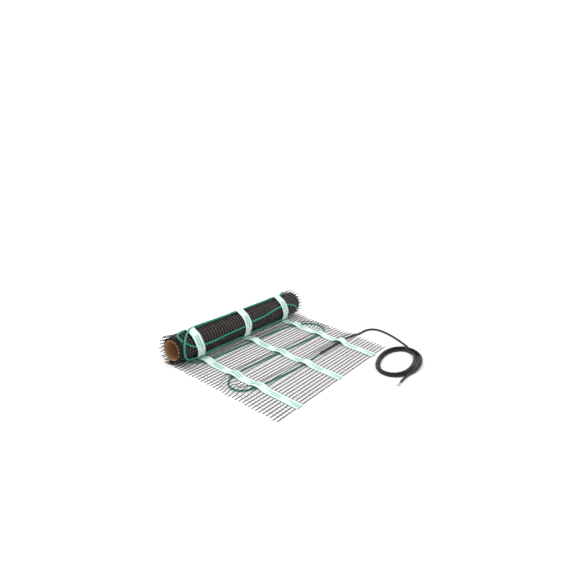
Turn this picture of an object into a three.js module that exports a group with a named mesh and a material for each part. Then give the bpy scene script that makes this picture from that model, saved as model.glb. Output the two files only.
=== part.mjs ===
// Electric underfloor heating mat: a fibreglass mesh wound on a cardboard core, its front end
// unrolled on the floor, with a heating cable laid in runs, tapes that hold the cable, a splice
// sleeve and a coiled cold lead with bare conductor ends.
// Millimetres, +Z up. X runs along the roll, and the unrolled end points to -Y.
// Here y = 0 is under the roll's axis; the last lines move the origin to the base centre.
import * as THREE from "three";

// Driving dimensions
const GAP = 0.3; // clearance between touching pieces
const matWidth = 500;
const flatLength = 345; // from the roll's axis to the front edge
const meshPitch = 20; // every second strand: the real mesh has one each 10 mm
const strandWidth = 1.4;
const strandThickness = 0.8;
const fringe = 8; // strand tips past the outermost crossing strand
const nipLength = 15; // from the roll's axis to where the sheet leaves the roll's bottom
const nipHeight = 2.5; // of the sheet there
const coreRadius = 27;
const coreWall = 2;
const coreOverhang = 2; // core past the mesh at each end
const rollRadius = 37.5; // over the mesh, without the cable on its outside
const rollTurns = 3;
const turnGroove = 1.1; // gap seen between two turns at the roll's ends
const turnGrooveDepth = 4;
const cableDiameter = 4;
const runPitch = 88; // between two neighbouring cable runs
const bendInset = 18; // from the mat's side edge to the outside of a cable bend
const firstWound = 31; // along the sheet, from the roll's bottom to the first run behind it
const tapeWidth = 28;
const tapeThickness = 0.35;
const tapeInset = 72; // from the mat's side edge to the middle of an outer tape
const tapeOverhang = 4; // past the front edge
const tapeTuck = 6; // under tape past the roll's axis
const tapeWrap = [20, 330]; // degrees round the roll from its bottom, up the back
const sleeveInset = 46; // from the mat's side edge to the sleeve's end
const sleeveLength = 136;
const sleeveDiameter = 8;
const sleeveNeck = 5; // diameter at the sleeve's ends
const sleeveTaper = 10;
const leadDiameter = 6;
const conductorDiameter = 1.8;
const conductorLength = 22;
const conductorPitch = 2.5; // between the two conductors where they leave the jacket
const conductorSpread = 3; // of each tip, sideways
const coilLongRadius = 86; // middle of the coil's turns, along its long axis
const coilShortRadius = 48;
const coilTurns = 3;
const coilLayers = 2;
const coilBevel = 2.4;
const coilAngle = 3; // degrees from +X to the coil's long axis
const coilInset = 58; // from the mat's side edge to the coil's centre
const coilForward = 70; // from the mat's front edge to the coil's centre

// Heights and radii that follow from them
const cableRadius = cableDiameter / 2;
const leadRadius = leadDiameter / 2;
const sleeveRadius = sleeveDiameter / 2;
const cableZ = tapeThickness + GAP + cableRadius;
const sleeveZ = tapeThickness + GAP + sleeveRadius;
const meshZ = cableZ + cableRadius + GAP;
const meshRise = sleeveZ + sleeveRadius + GAP - meshZ; // how far the sleeve lifts the sheet
const rollZ = tapeThickness + GAP + rollRadius;
const wrapRadius = rollRadius + GAP + cableRadius; // cable centre on the roll
const sheetRadius = rollRadius + strandThickness; // where lengths along the sheet are true
const halfWidth = matWidth / 2;
const tapeSpacing = halfWidth - tapeInset;
const sleeveEnd = halfWidth - sleeveInset;
const sleeveStart = sleeveEnd - sleeveLength;

const materials = {
  mesh: new THREE.MeshStandardMaterial({ color: 0x2a2622, roughness: 0.75 }),
  cable: new THREE.MeshStandardMaterial({ color: 0x2f8f78, roughness: 0.45 }),
  tape: new THREE.MeshStandardMaterial({ color: 0xd5e6dd, roughness: 0.5 }),
  cardboard: new THREE.MeshStandardMaterial({ color: 0x9a7350, roughness: 0.9 }),
  rubber: new THREE.MeshStandardMaterial({ color: 0x0c0c0c, roughness: 0.5 }),
  conductor: new THREE.MeshStandardMaterial({ color: 0x9a9c9c, roughness: 0.5 }),
};

const part = new THREE.Group();

function add(name, geometry, material) {
  const mesh = new THREE.Mesh(geometry, material);
  mesh.name = name;
  part.add(mesh);
  return mesh;
}

// A route whose stations are exactly its points, so a straight run takes one step.
class Route extends THREE.Curve {
  constructor(points) {
    super();
    this.points = points;
  }
  getPoint(t) {
    const last = this.points.length - 1;
    const place = Math.min(Math.max(t, 0), 1) * last;
    const i = Math.min(Math.floor(place), last - 1);
    return this.points[i].clone().lerp(this.points[i + 1], place - i);
  }
  getUtoTmapping(u) {
    return u;
  }
  getTangent(t) {
    const last = this.points.length - 1;
    const i = Math.round(t * last);
    const tangent = new THREE.Vector3();
    for (const j of [i - 1, i]) {
      if (j < 0 || j >= last) continue;
      tangent.add(this.points[j + 1].clone().sub(this.points[j]).normalize());
    }
    return tangent.normalize();
  }
}

function roundSection(radius, sides) {
  const section = new THREE.Shape();
  for (let i = 0; i < sides; i++) {
    const a = (2 * Math.PI * i) / sides;
    const x = radius * Math.cos(a);
    const y = radius * Math.sin(a);
    if (i === 0) section.moveTo(x, y);
    else section.lineTo(x, y);
  }
  return section;
}

function tube(points, radius, sides) {
  return new THREE.ExtrudeGeometry(roundSection(radius, sides), {
    steps: points.length - 1,
    extrudePath: new Route(points),
    bevelEnabled: false,
  });
}

// The points of a smooth curve through hand-chosen points, nowhere lower than the given height
function smooth(points, steps, lowest) {
  const stations = points.map((p) => new THREE.Vector3(...p));
  const curve = new THREE.CatmullRomCurve3(stations, false, "centripetal");
  return curve.getSpacedPoints(steps).map((p) => p.setZ(Math.max(p.z, lowest)));
}

// A turned solid about the X axis, from a closed list of [x, radius]
function turnedAlongX(profile, segments) {
  const loop = [...profile, profile[0]].map(([x, r]) => new THREE.Vector2(r, x));
  return new THREE.LatheGeometry(loop, segments).rotateZ(-Math.PI / 2);
}

// Core: a plain cardboard tube.
const coreEnd = halfWidth + coreOverhang;
const core = turnedAlongX(
  [
    [-coreEnd, coreRadius - coreWall],
    [-coreEnd, coreRadius],
    [coreEnd, coreRadius],
    [coreEnd, coreRadius - coreWall],
  ],
  32,
);
add("core_tube", core.translate(0, 0, rollZ), materials.cardboard);

// Roll: one turned solid with its bore, its turns cut as rings into both ends.
function rollProfile() {
  const bore = coreRadius + GAP;
  const turn = (rollRadius - bore) / rollTurns;
  const end = [];
  for (let i = 0; i < rollTurns; i++) {
    const low = bore + i * turn + (i ? turnGroove / 2 : 0);
    const high = bore + (i + 1) * turn - (i < rollTurns - 1 ? turnGroove / 2 : 0);
    end.push([halfWidth, low], [halfWidth, high]);
    if (i < rollTurns - 1) {
      end.push([halfWidth - turnGrooveDepth, high], [halfWidth - turnGrooveDepth, high + turnGroove]);
    }
  }
  const other = end.map(([x, r]) => [-x, r]).reverse();
  return [...other, ...end].reverse();
}
add("mesh_roll", turnedAlongX(rollProfile(), 40).translate(0, 0, rollZ), materials.mesh);

// Unrolled mesh: strands along X and Y fused where they cross, with short tips at the free edges.
function strandPlaces(low, high) {
  const count = Math.floor((high - low) / meshPitch + 1e-6);
  return Array.from({ length: count + 1 }, (_, i) => low + i * meshPitch);
}

const warpCount = Math.floor((matWidth - 2 * fringe) / meshPitch);
const warps = strandPlaces((-warpCount * meshPitch) / 2, (warpCount * meshPitch) / 2);
const wefts = strandPlaces(-flatLength + strandWidth / 2, -nipLength - strandWidth);
const levelEnd = wefts.at(-1) + strandWidth / 2; // here the sheet starts down to the roll's bottom

// The splice lies under the sheet, which rises over it from the last warp before the sleeve to
// the mat's edge, between the two wefts beside it.
const sleeveY = -238;
const riseStart = warps.filter((x) => x < sleeveStart).at(-1);
const risenWefts = wefts.filter((y) => Math.abs(y - sleeveY) < meshPitch);
function sheetHeight(x, y) {
  const risen = x > riseStart - strandWidth && Math.abs(y - sleeveY) < meshPitch + strandWidth / 2;
  return risen ? meshZ + meshRise : meshZ;
}

// The sheet is a lattice of blocks: a block is filled where a warp or a weft runs through it.
function meshSheet() {
  const edges = (places) => places.flatMap((place) => [place - strandWidth / 2, place + strandWidth / 2]);
  const xs = [-halfWidth, ...edges(warps), halfWidth];
  const ys = [...edges(wefts), -nipLength];
  const filled = (i, j) => {
    const inside = i >= 0 && j >= 0 && i < xs.length - 1 && j < ys.length - 1;
    return inside && (i % 2 === 1 || j % 2 === 0);
  };
  const corner = (i, j, k) => {
    const low = j === ys.length - 1 ? nipHeight : sheetHeight(xs[i], ys[j]);
    return [xs[i], ys[j], low + k * strandThickness];
  };
  const position = [];
  const quad = (a, b, c, d) => position.push(...a, ...b, ...c, ...a, ...c, ...d);
  for (let i = 0; i < xs.length - 1; i++) {
    for (let j = 0; j < ys.length - 1; j++) {
      if (!filled(i, j)) continue;
      const at = (u, v, k) => corner(i + u, j + v, k);
      quad(at(0, 0, 1), at(1, 0, 1), at(1, 1, 1), at(0, 1, 1));
      quad(at(0, 0, 0), at(0, 1, 0), at(1, 1, 0), at(1, 0, 0));
      if (!filled(i - 1, j)) quad(at(0, 0, 0), at(0, 0, 1), at(0, 1, 1), at(0, 1, 0));
      if (!filled(i + 1, j)) quad(at(1, 0, 0), at(1, 1, 0), at(1, 1, 1), at(1, 0, 1));
      if (!filled(i, j - 1)) quad(at(0, 0, 0), at(1, 0, 0), at(1, 0, 1), at(0, 0, 1));
      if (!filled(i, j + 1)) quad(at(0, 1, 0), at(0, 1, 1), at(1, 1, 1), at(1, 1, 0));
    }
  }
  const sheet = new THREE.BufferGeometry();
  sheet.setAttribute("position", new THREE.Float32BufferAttribute(position, 3));
  sheet.computeVertexNormals();
  return sheet;
}
add("mesh_flat", meshSheet(), materials.mesh);

// Heating cable. The unrolled stretch lies on the floor under the mesh; its free end enters the
// splice sleeve.
const firstRun = -240;
const bendX = halfWidth - bendInset - cableRadius;
const flatRoute = [
  [sleeveStart - GAP, sleeveY, sleeveZ],
  [riseStart, sleeveY, sleeveZ],
  [riseStart - 6, sleeveY, sleeveZ - 0.7],
  [riseStart - 12, sleeveY - 0.3, cableZ + 0.5],
  [riseStart - 18, sleeveY - 0.6, cableZ],
  [riseStart - 40, sleeveY - 1, cableZ],
  [-28, firstRun, cableZ],
  [-bendX + 124, firstRun + 5, cableZ],
  [-bendX + 60, firstRun + 12, cableZ],
  [-bendX + 34, firstRun + 17, cableZ],
  [-bendX + 16, firstRun + 24, cableZ],
  [-bendX + 4, firstRun + 35, cableZ],
  [-bendX, firstRun + 50, cableZ],
  [-bendX + 4, firstRun + 65, cableZ],
  [-bendX + 16, firstRun + 78, cableZ],
  [-bendX + 34, firstRun + 87, cableZ],
  [-bendX + 60, firstRun + 92, cableZ],
  [bendX - 60, firstRun + 75, cableZ],
  [bendX - 34, firstRun + 76, cableZ],
  [bendX - 16, firstRun + 83, cableZ],
  [bendX - 4, firstRun + 95, cableZ],
  [bendX, firstRun + 112, cableZ],
  [bendX - 4, firstRun + 130, cableZ],
  [bendX - 16, firstRun + 146, cableZ],
  [bendX - 36, firstRun + 160, cableZ],
  [bendX - 64, firstRun + 170, cableZ],
  [bendX - 110, firstRun + 176, cableZ],
  [-bendX + 80, firstRun + 188, cableZ],
  [-bendX + 50, firstRun + 190, cableZ],
  [-bendX + 30, firstRun + 197, cableZ],
  [-bendX + 19, firstRun + 208, cableZ],
  [-bendX + 16, firstRun + 216, cableZ],
];
add(
  "heating_cable_flat",
  tube(flatRoute.map((p) => new THREE.Vector3(...p)), cableRadius, 8),
  materials.cable,
);

// A place on the wound sheet: x, and the length s wound past the bottom of the roll
function onRoll(x, s) {
  const angle = s / sheetRadius;
  return new THREE.Vector3(x, wrapRadius * Math.sin(angle), rollZ - wrapRadius * Math.cos(angle));
}

const bendSteps = 16;
const bendRadius = runPitch / 2;
const runEnd = tapeSpacing + tapeWidth / 2 + 1; // a run goes over into its bend past the outer tape
const bendReach = halfWidth - bendInset - runEnd;
const runs = [firstWound, firstWound + runPitch, firstWound + 2 * runPitch];

function bend(side, s) {
  const points = [];
  for (let i = 0; i <= bendSteps; i++) {
    const a = (Math.PI * i) / bendSteps;
    points.push(onRoll(side * (runEnd + bendReach * Math.sin(a)), s + bendRadius * (1 - Math.cos(a))));
  }
  return points;
}
const woundRoute = [
  onRoll(-runEnd - 27, firstWound - 10),
  onRoll(-runEnd - 19, runs[0] - 4),
  onRoll(-runEnd - 9, runs[0] - 0.8),
  onRoll(-runEnd, runs[0]),
  ...bend(1, runs[0]),
  ...bend(-1, runs[1]),
  onRoll(runEnd, runs[2]),
  onRoll(runEnd + 12, runs[2] + 1),
  onRoll(runEnd + 22, runs[2] + 3.5),
];
add("heating_cable_roll", tube(woundRoute, cableRadius, 8), materials.cable);

// Tapes: one band on each face of the mesh, so the cable is held from both sides.

// An outline in Y and Z, extruded along X over a width centred on x
function extrudedAcross(outline, x, width) {
  const shape = new THREE.Shape(outline.map(([y, z]) => new THREE.Vector2(y, z)));
  const band = new THREE.ExtrudeGeometry(shape, { depth: width, bevelEnabled: false });
  const turn = new THREE.Matrix4().set(0, 0, 1, x - width / 2, 1, 0, 0, 0, 0, 1, 0, 0, 0, 0, 0, 1);
  return band.applyMatrix4(turn);
}

// The top band lies on the unrolled mesh, and follows its rise where it meets it.
function topTape(x) {
  const base = meshZ + strandThickness + GAP;
  const meetsRise = x + tapeWidth / 2 > riseStart - meshPitch;
  const [front, back] = [risenWefts[0] - strandWidth / 2, risenWefts.at(-1) + strandWidth / 2];
  const ramp = meshPitch - strandWidth;
  const rise = [
    [front - ramp, base],
    [front, base + meshRise],
    [back, base + meshRise],
    [back + ramp, base],
  ];
  const low = [[-flatLength - tapeOverhang, base], ...(meetsRise ? rise : []), [levelEnd, base]];
  const high = low.map(([y, z]) => [y, z + tapeThickness]).reverse();
  return extrudedAcross([...low, ...high], x, tapeWidth);
}

function underTape(x) {
  const [front, back] = [-flatLength - tapeOverhang, tapeTuck];
  return extrudedAcross(
    [[front, 0], [back, 0], [back, tapeThickness], [front, tapeThickness]],
    x,
    tapeWidth,
  );
}

// Taut band round the roll and the cable runs on it: the outermost point in each direction
const tautOver = [
  [0, rollZ, rollRadius],
  ...runs.map((s) => {
    const place = onRoll(0, s);
    return [place.y, place.z, cableRadius];
  }),
];
function tautPoint(angle, offset) {
  const [uy, uz] = [Math.sin(angle), -Math.cos(angle)];
  const reach = ([y, z, r]) => y * uy + z * uz + r;
  const [y, z, r] = tautOver.reduce((best, one) => (reach(one) > reach(best) ? one : best));
  return [y + (r + offset) * uy, z + (r + offset) * uz];
}

const wrapStep = 5; // degrees
function rollTape(x) {
  const [from, to] = tapeWrap;
  const steps = (to - from) / wrapStep;
  const inner = [];
  const outer = [];
  for (let i = 0; i <= steps; i++) {
    const angle = THREE.MathUtils.degToRad(from + ((to - from) * i) / steps);
    inner.push(tautPoint(angle, GAP));
    outer.push(tautPoint(angle, GAP + tapeThickness));
  }
  return extrudedAcross([...inner.reverse(), ...outer], x, tapeWidth);
}

const tapes = [
  ["left", -tapeSpacing],
  ["middle", 0],
  ["right", tapeSpacing],
];
for (const [side, x] of tapes) {
  add(`tape_top_${side}`, topTape(x), materials.tape);
  add(`tape_under_${side}`, underTape(x), materials.tape);
  add(`tape_roll_${side}`, rollTape(x), materials.tape);
}

// Splice sleeve: shrunk over the joint, with a tapered neck at each end
const sleeveProfile = [
  [sleeveStart, 0],
  [sleeveStart, sleeveNeck / 2],
  [sleeveStart + sleeveTaper, sleeveRadius],
  [sleeveEnd - sleeveTaper, sleeveRadius],
  [sleeveEnd, sleeveNeck / 2],
  [sleeveEnd, 0],
].map(([x, r]) => new THREE.Vector2(r, x));
const sleeve = new THREE.LatheGeometry(sleeveProfile, 16).rotateZ(-Math.PI / 2);
add("splice_sleeve", sleeve.translate(0, sleeveY, sleeveZ), materials.rubber);

// Cold lead: under the mesh to the mat's side, round on the floor and up to the coil
const floorZ = leadRadius;
const leadRoute = [
  [sleeveEnd + GAP, sleeveY, sleeveZ],
  [halfWidth - 34, sleeveY - 1, sleeveZ],
  [halfWidth - 18, sleeveY - 3, sleeveZ - 0.4],
  [halfWidth + 4, sleeveY - 6, floorZ + 0.5],
  [halfWidth + 21, sleeveY - 8, floorZ],
  [halfWidth + 38, sleeveY - 9, floorZ],
  [halfWidth + 56, -249, floorZ],
  [halfWidth + 73, -253, floorZ],
  [halfWidth + 86, -264, floorZ],
  [halfWidth + 92, -281, floorZ],
  [halfWidth + 91, -303, floorZ],
  [halfWidth + 84, -327, floorZ],
  [halfWidth + 76, -348, floorZ],
  [halfWidth + 66, -368, floorZ],
  [halfWidth + 56, -384, floorZ],
  [halfWidth + 46.5, -397, floorZ],
  [halfWidth + 39.6, -409, floorZ],
];
add("cold_lead", tube(smooth(leadRoute, 26, floorZ), leadRadius, 8), materials.rubber);

// Coil: the outer shape of its turns, an oval ring on the floor with the same section all round
const coilWidth = coilTurns * leadDiameter;
const coilHeight = coilLayers * leadDiameter;
const ringSection = [
  [-coilWidth / 2, coilBevel],
  [-coilWidth / 2 + coilBevel, 0],
  [coilWidth / 2 - coilBevel, 0],
  [coilWidth / 2, coilBevel],
  [coilWidth / 2, coilHeight - coilBevel],
  [coilWidth / 2 - coilBevel, coilHeight],
  [-coilWidth / 2 + coilBevel, coilHeight],
  [-coilWidth / 2, coilHeight - coilBevel],
];
function ovalRing(section, steps) {
  const corner = (i, j) => {
    const a = (2 * Math.PI * (i % steps)) / steps;
    const [out, z] = section[j % section.length];
    const normal = new THREE.Vector2(coilShortRadius * Math.cos(a), coilLongRadius * Math.sin(a));
    const offset = normal.normalize().multiplyScalar(out);
    return [coilLongRadius * Math.cos(a) + offset.x, coilShortRadius * Math.sin(a) + offset.y, z];
  };
  const position = [];
  for (let i = 0; i < steps; i++) {
    for (let j = 0; j < section.length; j++) {
      const [a, b, c, d] = [corner(i, j), corner(i + 1, j), corner(i + 1, j + 1), corner(i, j + 1)];
      position.push(...a, ...b, ...c, ...a, ...c, ...d);
    }
  }
  const oval = new THREE.BufferGeometry();
  oval.setAttribute("position", new THREE.Float32BufferAttribute(position, 3));
  oval.computeVertexNormals();
  return oval;
}
const coil = ovalRing(ringSection, 40).rotateZ(THREE.MathUtils.degToRad(coilAngle));
const coilCentre = [halfWidth - coilInset, -flatLength - coilForward];
add("lead_coil", coil.translate(...coilCentre, 0), materials.rubber);

// Tail of the lead, from the coil to its stripped end
const tailRoute = [
  [halfWidth - 121.2, -462.8, floorZ],
  [halfWidth - 128.5, -465.5, floorZ],
  [halfWidth - 136.5, -467.6, floorZ],
  [halfWidth - 146, -469.2, floorZ],
  [halfWidth - 154, -469.6, floorZ],
];
const tail = smooth(tailRoute, 6, floorZ);
add("lead_tail", tube(tail, leadRadius, 8), materials.rubber);

const tip = tail.at(-1);
const heading = tip.clone().sub(tail.at(-2)).normalize();
const across = new THREE.Vector3(-heading.y, heading.x, 0);
for (const [name, side] of [["conductor_left", 1], ["conductor_right", -1]]) {
  const start = tip.clone().addScaledVector(heading, GAP);
  start.addScaledVector(across, (side * conductorPitch) / 2);
  const middle = start.clone().addScaledVector(heading, conductorLength / 2);
  const end = start.clone().addScaledVector(heading, conductorLength);
  end.addScaledVector(across, side * conductorSpread);
  end.z = conductorDiameter / 2;
  const route = smooth([start, middle, end].map((p) => p.toArray()), 5, conductorDiameter / 2);
  add(name, tube(route, conductorDiameter / 2, 6), materials.conductor);
}

// Origin: the base centre of the mat, its lead left out
const leadNames = /^(cold_lead|lead_|conductor_)/;
const mat = new THREE.Box3();
for (const mesh of part.children) {
  if (!leadNames.test(mesh.name)) mat.expandByObject(mesh, true);
}
const middle = mat.getCenter(new THREE.Vector3());
part.position.set(-middle.x, -middle.y, -mat.min.z);

export default part;
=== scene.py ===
"""Underfloor heating mat, part unrolled: fibreglass mesh on a cardboard core, a green heating cable,
pale holding tapes, a splice sleeve and a coiled black cold lead."""
import math
import random

import bmesh
import bpy
from mathutils import Matrix, Vector, noise


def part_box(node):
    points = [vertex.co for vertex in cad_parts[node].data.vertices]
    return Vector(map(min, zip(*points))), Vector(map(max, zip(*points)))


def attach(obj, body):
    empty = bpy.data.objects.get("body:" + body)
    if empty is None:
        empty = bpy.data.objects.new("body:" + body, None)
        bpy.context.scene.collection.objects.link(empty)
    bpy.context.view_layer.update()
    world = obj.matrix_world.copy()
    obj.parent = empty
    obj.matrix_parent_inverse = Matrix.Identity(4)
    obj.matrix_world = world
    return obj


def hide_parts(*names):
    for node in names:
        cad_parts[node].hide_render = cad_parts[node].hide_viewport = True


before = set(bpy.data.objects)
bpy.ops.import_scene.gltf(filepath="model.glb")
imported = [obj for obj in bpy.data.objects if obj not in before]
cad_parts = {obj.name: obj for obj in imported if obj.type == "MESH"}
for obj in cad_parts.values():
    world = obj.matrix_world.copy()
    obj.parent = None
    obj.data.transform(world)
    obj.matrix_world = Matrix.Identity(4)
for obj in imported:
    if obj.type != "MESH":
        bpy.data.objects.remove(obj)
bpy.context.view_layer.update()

bl_info = {
    "name": "Heating Mat Roll",
    "version": (1, 0, 0),
    "blender": (4, 5, 0),
    "location": "View3D > Sidebar > Heating Mat",
    "description": "Builds a part unrolled underfloor heating mat with its cable, tapes and cold lead",
    "category": "Object",
}

MM = 0.001
GAP = 0.3 * MM


def node_box(node):
    low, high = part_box(node)
    return Vector(low), Vector(high)


# Sizes and places that the frame gives
CORE_LOW, CORE_HIGH = node_box("core_tube")
ROLL_LOW, ROLL_HIGH = node_box("mesh_roll")
FLAT_LOW, FLAT_HIGH = node_box("mesh_flat")
TOP_LOW = node_box("tape_top_left")[0]
SLEEVE_LOW, SLEEVE_HIGH = node_box("splice_sleeve")

ROLL_Y = (CORE_LOW.y + CORE_HIGH.y) / 2
ROLL_Z = (CORE_LOW.z + CORE_HIGH.z) / 2
CORE_RADIUS = (CORE_HIGH.z - CORE_LOW.z) / 2
ROLL_RADIUS = (ROLL_HIGH.z - ROLL_LOW.z) / 2
HALF_WIDTH = (FLAT_HIGH.x - FLAT_LOW.x) / 2
FLAT_LENGTH = ROLL_Y - FLAT_LOW.y
TAPE_XS = [sum(c.x for c in node_box(f"tape_top_{side}")) / 2 for side in ("left", "middle", "right")]
TAPE_OVERHANG = FLAT_LOW.y - TOP_LOW.y


def place(x, y, z):
    """A point of the part's source, in millimetres from under the roll's axis, in the row frame."""
    return Vector((x * MM, ROLL_Y + y * MM, z * MM))


# Property groups: what a user would change


class MatSizes(bpy.types.PropertyGroup):
    mesh_pitch: bpy.props.FloatProperty(
        name="Mesh pitch", description="Distance between strands", default=10 * MM, unit="LENGTH"
    )
    weft_width: bpy.props.FloatProperty(
        name="Weft width", description="Width of a strand across the mat", default=1.9 * MM, unit="LENGTH"
    )
    warp_width: bpy.props.FloatProperty(
        name="Warp yarn width", description="Width of one yarn along the mat",
        default=0.55 * MM, unit="LENGTH",
    )
    turn_step: bpy.props.FloatProperty(
        name="Turn step", description="Radius lost with each turn inwards", default=4.95 * MM, unit="LENGTH"
    )
    cable_diameter: bpy.props.FloatProperty(
        name="Cable diameter", description="Heating cable over its jacket", default=4.7 * MM, unit="LENGTH"
    )
    tape_thickness: bpy.props.FloatProperty(
        name="Tape thickness", description="Thickness of a holding tape", default=0.35 * MM, unit="LENGTH"
    )
    lead_diameter: bpy.props.FloatProperty(
        name="Lead diameter", description="Cold lead over its jacket", default=6 * MM, unit="LENGTH"
    )


class MatColours(bpy.types.PropertyGroup):
    weft: bpy.props.FloatVectorProperty(
        name="Weft", description="Dark coated strands", subtype="COLOR", default=(0.012, 0.009, 0.008)
    )
    warp: bpy.props.FloatVectorProperty(
        name="Warp", description="Lighter yarns along the mat", subtype="COLOR", default=(0.30, 0.26, 0.235)
    )
    cable: bpy.props.FloatVectorProperty(
        name="Cable", description="Heating cable jacket", subtype="COLOR", default=(0.005, 0.27, 0.18)
    )
    tape: bpy.props.FloatVectorProperty(
        name="Tape", description="Holding tape", subtype="COLOR", default=(0.72, 0.90, 0.82)
    )
    mark: bpy.props.FloatVectorProperty(
        name="Mark", description="Plain marks on the tape", subtype="COLOR", default=(0.06, 0.42, 0.28)
    )
    board: bpy.props.FloatVectorProperty(
        name="Board", description="Core cardboard", subtype="COLOR", default=(0.30, 0.155, 0.07)
    )
    jacket: bpy.props.FloatVectorProperty(
        name="Jacket", description="Black cold lead and sleeve", subtype="COLOR",
        default=(0.006, 0.006, 0.0065),
    )


def sizes():
    return bpy.context.scene.mat_sizes


def colours():
    return bpy.context.scene.mat_colours


# Routes


def spiral_angle(length, radius, step):
    """Angle wound after a length along a spiral that starts at radius and loses step each turn."""
    k = step / (2 * math.pi)
    return (radius - math.sqrt(max(radius * radius - 2 * k * length, 0.0))) / k


def roll_point(angle, radius):
    """A place on the roll: the angle runs from its bottom up the back, over and down the front."""
    return Vector((0, ROLL_Y + radius * math.sin(angle), ROLL_Z - radius * math.cos(angle)))


SHEET_INSET = 0.5 * MM  # middle of the outer turn, in from the roll's outside
CORE_CLEARANCE = 0.9 * MM
BULGE = 0.5 * MM
SHEET_LOW = 1.1 * MM
NIP_REACH = 26 * MM  # where the sheet starts to settle towards the roll's underside
NIP_HEIGHT = 1.15 * MM
WIND_SHARE = 0.62  # the outer turns lie closer than the turn step


def sheet_radius(angle):
    """Middle of the mesh: it loses a step each turn and then lies on the core."""
    outer = ROLL_RADIUS - SHEET_INSET
    inner = CORE_RADIUS + CORE_CLEARANCE
    bulge = BULGE * math.sin(3 * angle + 0.6)
    return max(outer - sizes().turn_step * angle / (2 * math.pi), inner) + bulge


def flat_height(y_from_roll):
    """Middle of the unrolled mesh before it is lifted over the cable."""
    if y_from_roll > NIP_REACH:
        return SHEET_LOW
    return SHEET_LOW + (NIP_HEIGHT - SHEET_LOW) * (1 - y_from_roll / NIP_REACH)


def flat_path(step):
    """The unrolled mesh from its front edge to the bottom of the roll."""
    count = round(FLAT_LENGTH / step)
    points = []
    for i in range(count + 1):
        along = FLAT_LENGTH * (1 - i / count)
        points.append(Vector((0, ROLL_Y - along, flat_height(along))))
    return points


def wound_path(step, first, last):
    """The wound mesh between two lengths past the bottom of the roll."""
    count = round((last - first) / step)
    points = []
    for i in range(count + 1):
        length = first + (last - first) * i / count
        angle = spiral_angle(length, ROLL_RADIUS, sizes().turn_step * WIND_SHARE)
        points.append(roll_point(angle, sheet_radius(angle)))
    return points


def catmull(points, step):
    """Points about step apart on a centripetal curve through given points."""
    pts = [Vector(p) for p in points]
    ends = [2 * pts[0] - pts[1]] + pts + [2 * pts[-1] - pts[-2]]
    out = []
    for i in range(1, len(ends) - 2):
        p0, p1, p2, p3 = ends[i - 1 : i + 3]
        t0 = 0.0
        t1 = t0 + max((p1 - p0).length, 1e-9) ** 0.5
        t2 = t1 + max((p2 - p1).length, 1e-9) ** 0.5
        t3 = t2 + max((p3 - p2).length, 1e-9) ** 0.5
        count = max(1, math.ceil((p2 - p1).length / step))
        for j in range(count):
            t = t1 + (t2 - t1) * j / count
            a1 = (t1 - t) / (t1 - t0) * p0 + (t - t0) / (t1 - t0) * p1
            a2 = (t2 - t) / (t2 - t1) * p1 + (t - t1) / (t2 - t1) * p2
            a3 = (t3 - t) / (t3 - t2) * p2 + (t - t2) / (t3 - t2) * p3
            b1 = (t2 - t) / (t2 - t0) * a1 + (t - t0) / (t2 - t0) * a2
            b2 = (t3 - t) / (t3 - t1) * a2 + (t - t1) / (t3 - t1) * a3
            out.append((t2 - t) / (t2 - t1) * b1 + (t - t1) / (t2 - t1) * b2)
    out.append(pts[-1])
    return out


SLEEVE_Y = -238
SLEEVE_START = 68
SLEEVE_END = 204
SLEEVE_Z = 4.65
RISE_START = 60
FIRST_RUN = -240
CABLE_FLOOR = 2.95
BEND_X = 230
FLAT_ROUTE = [
    (SLEEVE_START - 0.3, SLEEVE_Y, SLEEVE_Z),
    (RISE_START, SLEEVE_Y, SLEEVE_Z),
    (RISE_START - 6, SLEEVE_Y, SLEEVE_Z - 0.7),
    (RISE_START - 12, SLEEVE_Y - 0.3, CABLE_FLOOR + 0.5),
    (RISE_START - 18, SLEEVE_Y - 0.6, CABLE_FLOOR),
    (RISE_START - 40, SLEEVE_Y - 1, CABLE_FLOOR),
    (-28, FIRST_RUN, CABLE_FLOOR),
    (-BEND_X + 124, FIRST_RUN + 5, CABLE_FLOOR),
    (-BEND_X + 60, FIRST_RUN + 12, CABLE_FLOOR),
    (-BEND_X + 34, FIRST_RUN + 17, CABLE_FLOOR),
    (-BEND_X + 16, FIRST_RUN + 24, CABLE_FLOOR),
    (-BEND_X + 4, FIRST_RUN + 35, CABLE_FLOOR),
    (-BEND_X, FIRST_RUN + 50, CABLE_FLOOR),
    (-BEND_X + 4, FIRST_RUN + 65, CABLE_FLOOR),
    (-BEND_X + 16, FIRST_RUN + 78, CABLE_FLOOR),
    (-BEND_X + 34, FIRST_RUN + 87, CABLE_FLOOR),
    (-BEND_X + 60, FIRST_RUN + 92, CABLE_FLOOR),
    (BEND_X - 60, FIRST_RUN + 75, CABLE_FLOOR),
    (BEND_X - 34, FIRST_RUN + 76, CABLE_FLOOR),
    (BEND_X - 16, FIRST_RUN + 83, CABLE_FLOOR),
    (BEND_X - 4, FIRST_RUN + 95, CABLE_FLOOR),
    (BEND_X, FIRST_RUN + 112, CABLE_FLOOR),
    (BEND_X - 4, FIRST_RUN + 130, CABLE_FLOOR),
    (BEND_X - 16, FIRST_RUN + 146, CABLE_FLOOR),
    (BEND_X - 36, FIRST_RUN + 160, CABLE_FLOOR),
    (BEND_X - 64, FIRST_RUN + 170, CABLE_FLOOR),
    (BEND_X - 110, FIRST_RUN + 176, CABLE_FLOOR),
    (-BEND_X + 80, FIRST_RUN + 188, CABLE_FLOOR),
    (-BEND_X + 50, FIRST_RUN + 190, CABLE_FLOOR),
    (-BEND_X + 30, FIRST_RUN + 197, CABLE_FLOOR),
    (-BEND_X + 19, FIRST_RUN + 208, CABLE_FLOOR),
    (-BEND_X + 16, FIRST_RUN + 216, CABLE_FLOOR),
]

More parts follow.
